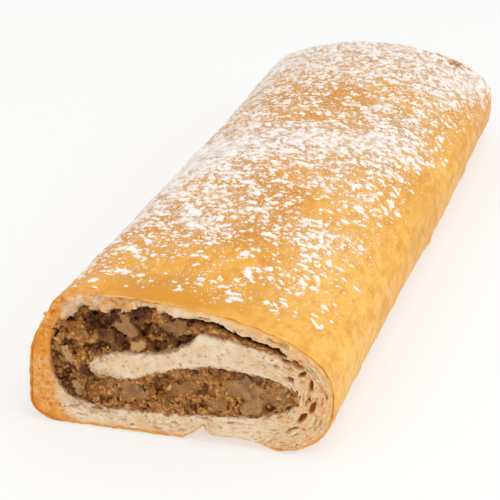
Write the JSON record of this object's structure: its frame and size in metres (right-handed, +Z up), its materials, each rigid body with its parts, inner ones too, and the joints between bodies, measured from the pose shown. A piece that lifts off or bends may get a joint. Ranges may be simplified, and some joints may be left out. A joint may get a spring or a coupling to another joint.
{
  "type": "nut roll",
  "caption": "Baked roll of layered dough with a walnut filling, cut across at one end so its spiral shows, and dusted with icing sugar.",
  "frame": {"origin": "under the middle of the roll, on the surface that it rests on", "axes": "+Z up, +Y along the roll from the cut face to the closed baked end, +X to the right as seen from the cut face"},
  "size_m": [0.1222, 0.3432, 0.0532],
  "materials": {
    "baked_dough": "golden baked crust with a faint gloss, pale layered crumb at the cut, white icing sugar on top",
    "nut_filling": "moist crumbly brown walnut filling with paler chopped walnut pieces"
  },
  "bodies": {
    "root": {"pastry": "baked_dough", "filling": "nut_filling"}
  },
  "joints": []
}
